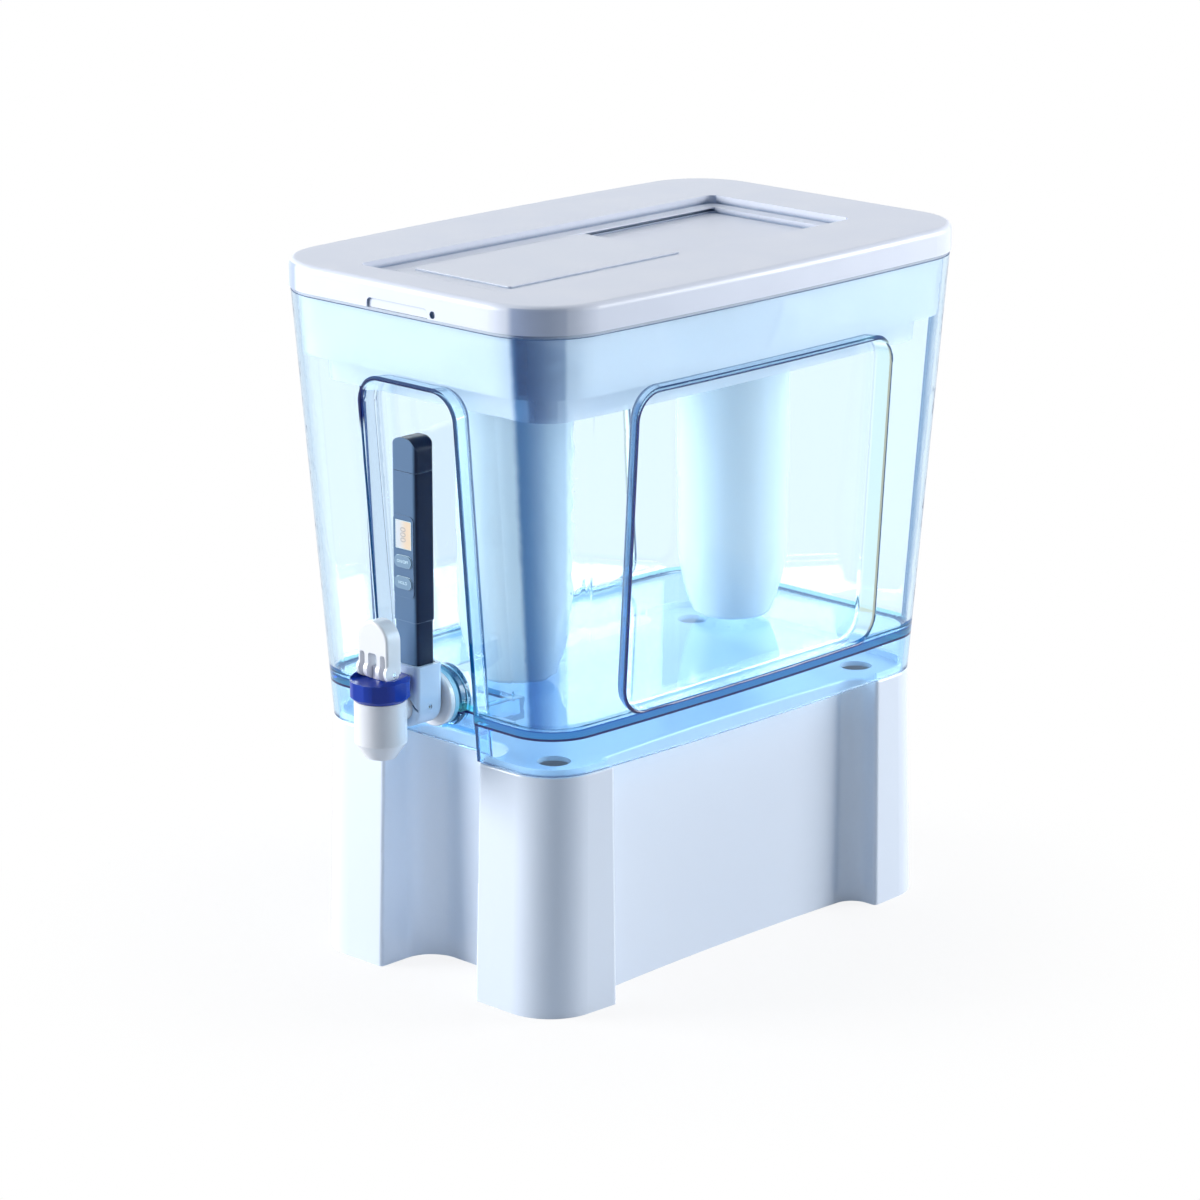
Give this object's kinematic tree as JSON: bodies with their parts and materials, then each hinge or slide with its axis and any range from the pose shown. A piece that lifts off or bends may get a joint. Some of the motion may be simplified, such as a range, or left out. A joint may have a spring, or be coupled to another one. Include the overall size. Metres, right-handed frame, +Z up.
{
  "type": "gravity water filter dispenser",
  "caption": "Countertop water dispenser that filters by gravity: clear tank on a white stand, hanging filter tray, lid with sliding fill door, lever tap and docked water meter.",
  "frame": {"origin": "on the floor plane, under the middle of the whole dispenser's box at rest", "axes": "+Z up, -Y towards the tap and the person who fills a glass, +X to the right of someone who looks along +Y at the tap"},
  "size_m": [0.2446, 0.4152, 0.429],
  "materials": {
    "stand_white": "gloss, moulded",
    "tank_clear": "clear, faintly blue, polished",
    "tray_pale": "gloss, translucent pale periwinkle",
    "lid_white": "gloss, moulded",
    "filter_blue": "gloss, pale blue",
    "filter_medium": "matte, granular",
    "tap_white": "gloss, moulded",
    "bonnet_blue": "gloss, deep blue",
    "seal_rubber": "matte, pale silicone",
    "spring_steel": "drawn wire",
    "pin_steel": "ground",
    "dock_pale": "gloss, pale grey",
    "meter_navy": "satin, navy",
    "meter_cap_clear": "gloss, dark translucent",
    "display_grey": "glossy window",
    "button_pale": "satin",
    "cell_steel": "satin"
  },
  "bodies": {
    "stand": {"base_stand": "stand_white"},
    "tank": {"tank": "tank_clear", "tap_body": "tap_white", "tap_outer_gasket": "seal_rubber", "tap_inner_washer": "seal_rubber", "tap_fixing_nut": "tap_white", "bonnet_ring": "bonnet_blue", "valve_spring": "spring_steel", "meter_dock": "dock_pale", "dock_screw": "pin_steel"},
    "tray": {"upper_tray": "tray_pale"},
    "lid": {"lid": "lid_white"},
    "fill_door": {"fill_door": "lid_white"},
    "filter_front": {"filter_front_cap": "filter_blue", "filter_front_gasket": "seal_rubber", "filter_front_upper_shell": "filter_blue", "filter_front_lower_shell": "filter_blue", "filter_front_medium": "filter_medium"},
    "filter_rear": {"filter_rear_cap": "filter_blue", "filter_rear_gasket": "seal_rubber", "filter_rear_upper_shell": "filter_blue", "filter_rear_lower_shell": "filter_blue", "filter_rear_medium": "filter_medium"},
    "valve": {"valve_stem": "tap_white", "valve_seat_cup": "seal_rubber"},
    "lever": {"tap_lever": "tap_white", "lever_pin": "pin_steel"},
    "probe_cap": {"meter_probe_cap": "meter_cap_clear"},
    "meter": {"meter_case": "meter_navy", "meter_electrodes": "pin_steel", "meter_cells": "cell_steel", "meter_display": "display_grey"},
    "battery_cap": {"meter_battery_cap": "meter_navy"},
    "power_button": {"meter_power_button": "button_pale"},
    "hold_button": {"meter_hold_button": "button_pale"}
  },
  "joints": [
    {"name": "tank_lift", "type": "slide", "parent": "stand", "child": "tank", "axis": [0, 0, 1], "range_m": [0, 0.05]},
    {"name": "tray_lift", "type": "slide", "parent": "tank", "child": "tray", "axis": [0, 0, 1], "range_m": [0, 0.19]},
    {"name": "lid_lift", "type": "slide", "parent": "tray", "child": "lid", "axis": [0, 0, 1], "range_m": [0, 0.06]},
    {"name": "door_slide", "type": "slide", "parent": "lid", "child": "fill_door", "axis": [0, 1, 0], "range_m": [0, 0.122]},
    {"name": "filter_front_turn", "type": "hinge", "parent": "tray", "child": "filter_front", "pos_m": [0, -0.07773, 0.3592], "axis": [0, 0, 1], "range_deg": [0, 60]},
    {"name": "filter_rear_turn", "type": "hinge", "parent": "tray", "child": "filter_rear", "pos_m": [0, 0.11227, 0.3592], "axis": [0, 0, 1], "range_deg": [0, 60]},
    {"name": "valve_lift", "type": "slide", "parent": "tank", "child": "valve", "axis": [0, 0, 1], "range_m": [0, 0.00268], "stiffness_N_per_m": 200, "springref_m": -0.003, "deforming": ["valve_spring"]},
    {"name": "lever_tilt", "type": "hinge", "parent": "valve", "child": "lever", "pos_m": [0, -0.19017, 0.20286], "axis": [1, 0, 0], "range_deg": [0, 75]},
    {"name": "meter_lift", "type": "slide", "parent": "tank", "child": "probe_cap", "axis": [0, 0, 1], "range_m": [0, 0.011]},
    {"name": "probe_pull", "type": "slide", "parent": "probe_cap", "child": "meter", "axis": [0, 0, 1], "range_m": [0, 0.006]},
    {"name": "battery_cap_pull", "type": "slide", "parent": "meter", "child": "battery_cap", "axis": [0, 0, 1], "range_m": [0, 0.004]},
    {"name": "power_press", "type": "slide", "parent": "meter", "child": "power_button", "axis": [0, 1, 0], "range_m": [0, 0.0006], "stiffness_N_per_m": 400, "springref_m": -0.0006},
    {"name": "hold_press", "type": "slide", "parent": "meter", "child": "hold_button", "axis": [0, 1, 0], "range_m": [0, 0.0006], "stiffness_N_per_m": 400, "springref_m": -0.0006}
  ],
  "couplings": [
    {"joint": "lever_tilt", "follows": "valve_lift", "rad_per_m": 488.7}
  ]
}
